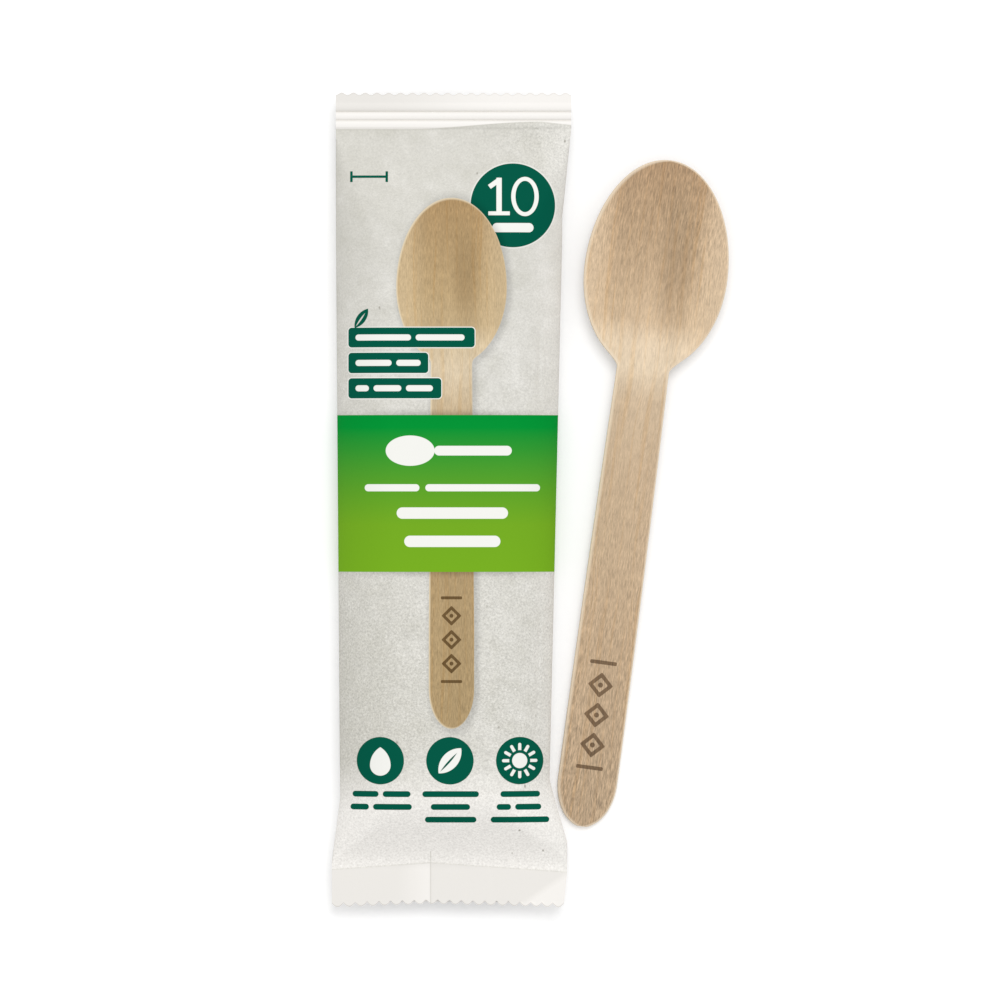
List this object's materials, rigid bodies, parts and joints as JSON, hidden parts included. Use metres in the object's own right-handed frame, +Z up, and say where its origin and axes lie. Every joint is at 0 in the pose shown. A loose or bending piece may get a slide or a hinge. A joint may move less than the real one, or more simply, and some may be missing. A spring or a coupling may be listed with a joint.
{
  "type": "wooden cutlery pack",
  "caption": "Sealed paper flow pack of wooden spoons with crimped toothed ends and a folded back seam, and a loose wooden spoon lying beside it.",
  "frame": {"origin": "on the table, under the middle of the box around the pack and the loose spoon", "axes": "+Z up out of the pack's printed front, +Y along the pack towards the spoons' bowls, +X towards the loose spoon"},
  "size_m": [0.0944, 0.1938, 0.0161],
  "materials": {
    "printed_paper": "matte off-white paper with green print",
    "birch": "smooth waxed birch veneer"
  },
  "bodies": {
    "root": {"spoon_pack": "printed_paper", "loose_spoon": "birch"}
  },
  "joints": []
}
